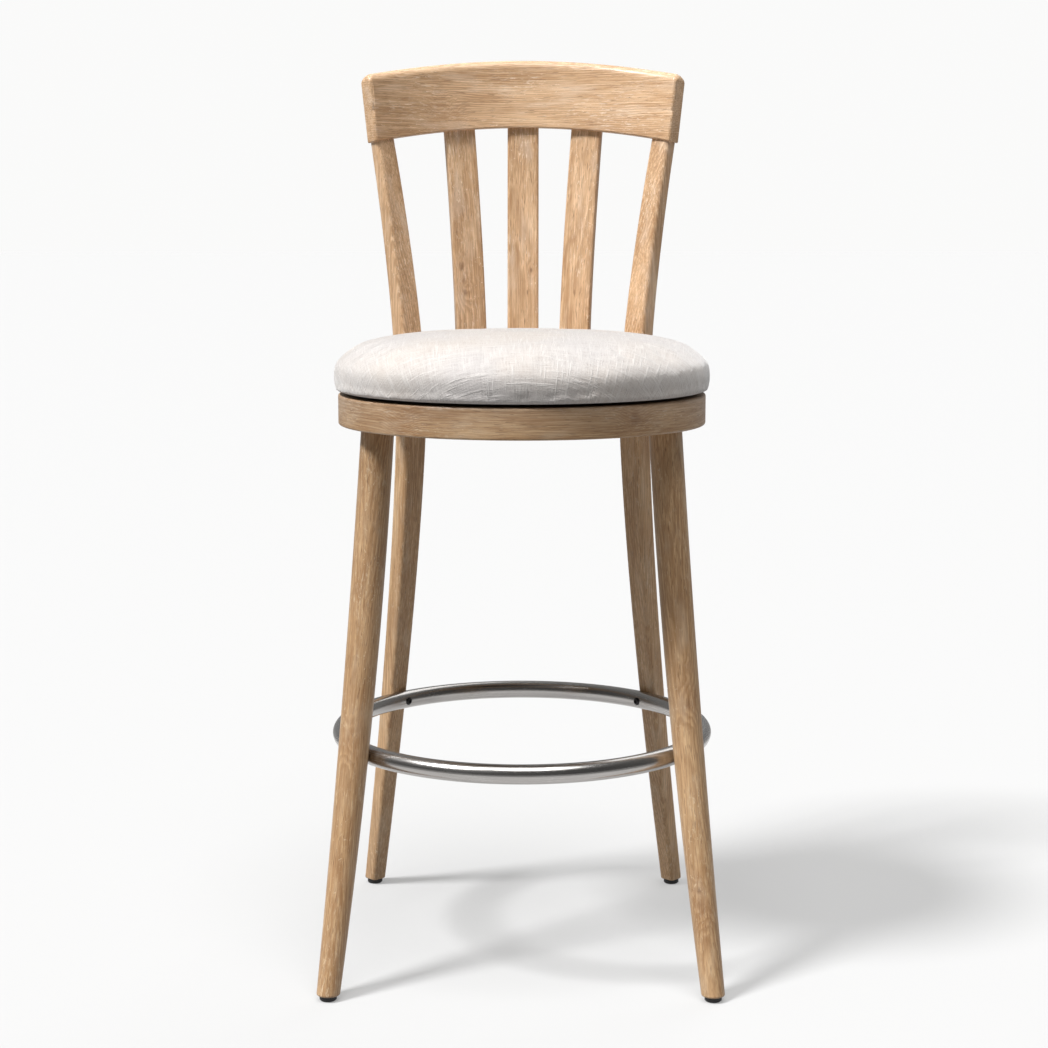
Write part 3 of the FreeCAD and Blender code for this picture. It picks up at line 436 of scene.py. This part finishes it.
def build_pad():
    """The cushion's closed form before it swells."""
    segments = 180
    builder = bmesh.new()
    rings = []
    for share, height in pad_profile():
        above = max(0, (height - PAD_WIDEST) / (PAD_CROWN - PAD_WIDEST))
        lowered = height - PAD_START_INSET * above
        ring = []
        for number in range(segments):
            angle = 2 * math.pi * number / segments
            radius = (pad_plan(angle) + PAD_EASE) * share
            ring.append(builder.verts.new((radius * math.cos(angle),
                                           SEAT_Y + radius * math.sin(angle), lowered)))
        rings.append(ring)
    for upper, lower in zip(rings, rings[1:]):
        for number in range(segments):
            following = (number + 1) % segments
            builder.faces.new((upper[number], lower[number], lower[following],
                               upper[following]))
    for ring, height in ((rings[0], PAD_CROWN - PAD_START_INSET), (rings[-1], PAD_UNDERSIDE)):
        middle = builder.verts.new((0, SEAT_Y, height))
        for number in range(segments):
            builder.faces.new((middle, ring[number], ring[(number + 1) % segments]))
    bmesh.ops.recalc_face_normals(builder, faces=builder.faces)
    mesh = bpy.data.meshes.new("seat_cushion")
    builder.to_mesh(mesh)
    builder.free()
    cushion = bpy.data.objects.new("seat_cushion", mesh)
    bpy.context.scene.collection.objects.link(cushion)
    return cushion


def settle(piece):
    """Put a piece's modifiers into its mesh."""
    graph = bpy.context.evaluated_depsgraph_get()
    mesh = bpy.data.meshes.new_from_object(piece.evaluated_get(graph))
    piece.modifiers.clear()
    piece.data = mesh


def swell(piece):
    """Fill the cover with a cloth simulation, held where it is stapled under the board."""
    remesh = piece.modifiers.new("remesh", "REMESH")
    remesh.mode = "VOXEL"
    remesh.voxel_size = 0.005
    settle(piece)
    start = [vertex.co.copy() for vertex in piece.data.vertices]
    held = piece.vertex_groups.new(name="held")
    held.add([index for index, co in enumerate(start) if co.z < PAD_UNDERSIDE + 0.003],
             1.0, "REPLACE")
    cloth = piece.modifiers.new("cloth", "CLOTH")
    cloth.settings.quality = 5
    cloth.settings.use_pressure = True
    cloth.settings.uniform_pressure_force = 4
    cloth.settings.vertex_group_mass = "held"
    cloth.settings.effector_weights.gravity = 0
    for number in range(1, SWELL_FRAMES + 1):
        bpy.context.scene.frame_set(number)
    settle(piece)
    bpy.context.scene.frame_set(1)
    for vertex, origin in zip(piece.data.vertices, start):
        move = vertex.co - origin
        if move.length > PAD_SWELL:
            vertex.co = origin + move * (PAD_SWELL / move.length)


def linen():
    """Slubby off-white linen: crossing threads of uneven thickness, matt and a little warm."""
    material, tree, shader = new_material("linen_cloth")
    position = tree.add("ShaderNodeTexCoord").outputs["Object"]
    x, y, z = tree.split(tree.vector("SUBTRACT", position, (0, SEAT_Y, 0)))
    # the threads follow the cloth over the edge: distances are measured along the surface
    reach = tree.length(tree.combine(x, y, 0))
    drop = tree.math("SUBTRACT", PAD_CROWN, z)
    wrap = tree.math("MULTIPLY", tree.math("MULTIPLY", drop, drop), WRAP)
    along = tree.math("ADD", reach, wrap)
    stretch = tree.math("DIVIDE", along, tree.math("MAXIMUM", reach, 0.001))
    drift = tree.noise(position, scale=9, detail=2)
    drift = tree.math("MULTIPLY", tree.math("SUBTRACT", drift, 0.5), 0.006)
    u = tree.math("ADD", tree.math("MULTIPLY", x, stretch), drift)
    v = tree.math("SUBTRACT", tree.math("MULTIPLY", y, stretch), drift)

    def threads(across, length, seed):
        """Uneven parallel threads: fine ones, and slubs about twice as thick."""
        fine = tree.noise(tree.combine(tree.math("MULTIPLY", across, 1 / THREAD_PITCH),
                                       tree.math("MULTIPLY", length, 1 / THREAD_RUN), seed))
        slub = tree.noise(tree.combine(tree.math("MULTIPLY", across, 0.55 / THREAD_PITCH),
                                       tree.math("MULTIPLY", length, 0.6 / THREAD_RUN),
                                       seed + 7), roughness=0.6)
        return (tree.ramp(fine, 0.32, 0.68), tree.ramp(slub, 0.5, 0.72))

    warp, warp_slub = threads(u, v, 1.5)
    weft, weft_slub = threads(v, u, 9.5)
    over = tree.math("MULTIPLY",
                     tree.math("SINE", tree.math("MULTIPLY", u, math.pi / CHECK_PITCH)),
                     tree.math("SINE", tree.math("MULTIPLY", v, math.pi / CHECK_PITCH)))
    weave = tree.between(tree.ramp(over, -0.5, 0.5), warp, weft)
    slubs = tree.math("MAXIMUM", warp_slub, weft_slub)

    cloud = tree.noise(tree.combine(x, tree.math("ADD", y, 3.1), z), scale=7, detail=3)
    colour = tree.mix(tree.ramp(cloud, 0.35, 0.65), rgb(188, 183, 181), rgb(193, 184, 176))
    colour = tree.mix(tree.ramp(weave, 0.2, 0.9, 0.0, 0.45), colour, rgb(204, 199, 194))
    colour = tree.mix(tree.math("MULTIPLY", slubs, 0.5), colour, rgb(218, 214, 210))
    # painted shade: darker where neither warp nor weft lies on top, in the gaps between the
    # threads
    thread_gap_shade = tree.math("MULTIPLY", tree.ramp(warp, 0.5, 0.0), tree.ramp(weft, 0.5, 0.0))
    colour = tree.mix(tree.math("MULTIPLY", thread_gap_shade, 0.5), colour, rgb(162, 151, 144))
    tree.feed(shader.inputs["Base Color"], colour)
    shader.inputs["Roughness"].default_value = 0.92
    shader.inputs["Specular IOR Level"].default_value = 0.2
    shader.inputs["Sheen Weight"].default_value = 0.6
    shader.inputs["Sheen Roughness"].default_value = 0.5
    puckers = tree.noise(tree.combine(tree.math("MULTIPLY", u, 30), tree.math("MULTIPLY", v, 30),
                                      4.0), detail=3, distortion=0.6)
    soft = tree.bump(puckers, 0.0012, 0.35)
    height = tree.math("ADD", tree.math("MULTIPLY", weave, 0.6), slubs)
    tree.feed(shader.inputs["Normal"], tree.bump(height, 0.0005, 0.7, normal=soft))
    return material


def add_cushion():
    """The upholstered pad: swollen linen over foam, in place of its plain CAD solids."""
    cushion = build_pad()
    swell(cushion)
    smooth = cushion.modifiers.new("smooth", "SUBSURF")
    smooth.levels = 1
    smooth.render_levels = 1
    for polygon in cushion.data.polygons:
        polygon.use_smooth = True
    cushion.data.materials.clear()
    cushion.data.materials.append(linen())
    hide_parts("seat_cover", "seat_foam")
    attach(cushion, "root")


# ---------------------------------------------------------------- metal, plastic, inner parts

def satin_steel():
    """Brushed stainless tube: fine scratches round the tube's run and faint smudges."""
    material, tree, shader = new_material("satin_steel_tube")
    place = curved_grain(tree, (0.0, SEAT_Y), RING_RADIUS, (0, 0, 0))
    brushing = tree.noise(tree.vector("MULTIPLY", place, (2600, 2600, 30)), detail=3)
    smudge = tree.noise(tree.vector("MULTIPLY", place, (40, 40, 14)), detail=3)
    colour = tree.mix(tree.ramp(brushing, 0.3, 0.7), rgb(170, 167, 164), rgb(188, 185, 182))
    tree.feed(shader.inputs["Base Color"], colour)
    rough = tree.math("ADD", tree.ramp(brushing, 0.2, 0.8, 0.22, 0.26),
                      tree.ramp(smudge, 0.3, 0.7, 0.0, 0.03))
    tree.feed(shader.inputs["Roughness"], rough)
    shader.inputs["Metallic"].default_value = 1.0
    tree.feed(shader.inputs["Normal"], tree.bump(brushing, 0.00001, 0.3))
    return material


def plain(name, first, second, roughness, metallic=0.0, scale=900, bump=0.00008):
    """A fine-grained finish of one colour with slight variation, for small parts."""
    material, tree, shader = new_material(name)
    position = tree.add("ShaderNodeTexCoord").outputs["Object"]
    grain = tree.noise(position, scale=scale, detail=3)
    cloud = tree.noise(position, scale=scale / 40, detail=2)
    share = tree.math("MULTIPLY", tree.ramp(grain, 0.3, 0.7), tree.ramp(cloud, 0.2, 0.8))
    tree.feed(shader.inputs["Base Color"], tree.mix(share, first, second))
    tree.feed(shader.inputs["Roughness"], tree.ramp(grain, 0.2, 0.8, roughness - 0.08,
                                                   roughness + 0.06))
    shader.inputs["Metallic"].default_value = metallic
    tree.feed(shader.inputs["Normal"], tree.bump(grain, bump, 0.5))
    return material


def finish_small_parts():
    """Steel ring and fasteners, black glides, and the pieces seen only from below."""
    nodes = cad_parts
    paint(nodes["footrest_ring"], satin_steel())
    oxide = plain("black_oxide", rgb(46, 45, 45), rgb(74, 73, 73), 0.32, metallic=1.0)
    paint(nodes["footrest_screws"], oxide)
    zinc = plain("zinc_plate", rgb(150, 150, 152), rgb(190, 190, 190), 0.35, metallic=1.0)
    for name in ("rear_leg_bolts", "rear_leg_washers", "seat_screws", "seat_tee_nuts",
                 "glide_nails"):
        paint(nodes[name], zinc)
    brass = plain("brass", rgb(180, 140, 70), rgb(205, 165, 90), 0.35, metallic=1.0)
    paint(nodes["rear_leg_inserts"], brass)
    paint(nodes["cover_staples"], plain("black_lacquer", rgb(20, 20, 20), rgb(38, 38, 38), 0.4))
    nylon = plain("black_nylon", rgb(18, 17, 17), rgb(30, 29, 28), 0.55)
    for row in ("front", "rear"):
        for side in ("left", "right"):
            paint(nodes[f"glide_{row}_{side}"], nylon)
    # the spacer ring's black stain also paints the shade in the gap under the cushion's edge
    paint(nodes["spacer_ring"], plain("black_stain_gap_shade", rgb(20, 16, 13), rgb(34, 28, 24), 0.7))
    paint(nodes["dust_cover"], plain("black_cambric", rgb(24, 24, 25), rgb(44, 43, 43), 0.9,
                                     scale=1400, bump=0.0002))
    paint(nodes["seat_board"], plain("plywood", rgb(178, 140, 96), rgb(205, 170, 124), 0.7,
                                     scale=300))


# ---------------------------------------------------------------- studio

FLOOR_HALF = 60              # half the width of the floor


def add_sun(name, slope_x, slope_y, strength, softness):
    """A soft light from far away: it travels by the slopes for each unit that it falls."""
    data = bpy.data.lights.new(name, "SUN")
    data.energy = strength
    data.angle = math.radians(softness)
    light = bpy.data.objects.new(name, data)
    light.rotation_euler = Vector((slope_x, slope_y, -1)).to_track_quat("-Z", "Y").to_euler()
    light.location = (-slope_x * 3, -slope_y * 3, 3)
    bpy.context.scene.collection.objects.link(light)


def add_backdrop():
    """A pale backdrop in a dim studio: the stool is lit by the lamps, not by the backdrop."""
    world = bpy.data.worlds.new("surround")
    bpy.context.scene.world = world
    world.use_nodes = True
    world.node_tree.nodes.clear()
    tree = Tree(world.node_tree)
    rays = tree.add("ShaderNodeLightPath").outputs
    direction = tree.split(tree.add("ShaderNodeTexCoord").outputs["Generated"])
    dim = tree.ramp(direction[1], -0.5, 0.9, 0.08, 0.3)
    sides = tree.ramp(tree.math("ABSOLUTE", direction[0]), 0.3, 1.0, 0.0, 0.24)
    dim = tree.math("ADD", dim, tree.math("MULTIPLY", sides, rays["Is Diffuse Ray"]))
    glow = tree.math("MAXIMUM", dim, tree.math("MULTIPLY", rays["Is Camera Ray"], 0.958))
    background = tree.add("ShaderNodeBackground", {"Color": (1, 1, 0.995, 1), "Strength": glow})
    tree.add("ShaderNodeOutputWorld", {"Surface": background.outputs[0]})


def add_floor():
    """A floor that glows like a lit sweep, with most of that glow kept off the stool."""
    mesh = bpy.data.meshes.new("floor")
    builder = bmesh.new()
    bmesh.ops.create_grid(builder, x_segments=1, y_segments=1, size=FLOOR_HALF)
    builder.to_mesh(mesh)
    builder.free()
    floor = bpy.data.objects.new("floor", mesh)
    bpy.context.scene.collection.objects.link(floor)
    material, tree, shader = new_material("floor_paint")
    shader.inputs["Roughness"].default_value = 0.95
    shader.inputs["Specular IOR Level"].default_value = 0.1
    shader.inputs["Emission Color"].default_value = (1, 1, 0.995, 1)
    # diffuse rays see a dim floor, and so do glossy rays that meet it far from the stool
    rays = tree.add("ShaderNodeLightPath").outputs
    away = tree.length(tree.add("ShaderNodeNewGeometry").outputs["Position"])
    far = tree.math("MULTIPLY", rays["Is Glossy Ray"], tree.ramp(away, 0.7, 1.8))
    flagged = tree.math("MAXIMUM", rays["Is Diffuse Ray"], far)
    tree.feed(shader.inputs["Emission Strength"], tree.ramp(flagged, 0.0, 1.0, 0.298, 0.02))
    tree.feed(shader.inputs["Base Color"], tree.mix(flagged, (0.34, 0.34, 0.34, 1),
                                                    (0.18, 0.18, 0.18, 1)))
    floor.data.materials.append(material)


def add_studio():
    """The backdrop, the floor and three soft lights, with colours shown as they are."""
    bpy.context.scene.view_settings.view_transform = "Standard"
    add_backdrop()
    add_floor()
    add_sun("key", 0.6, 0.28, 4.1, 13)
    add_sun("overhead", -0.05, 0.26, 1.8, 36)
    add_sun("back", -0.4, -0.9, 0.4, 30)


add_camera()
add_studio()
finish_wood()
finish_small_parts()
add_cushion()
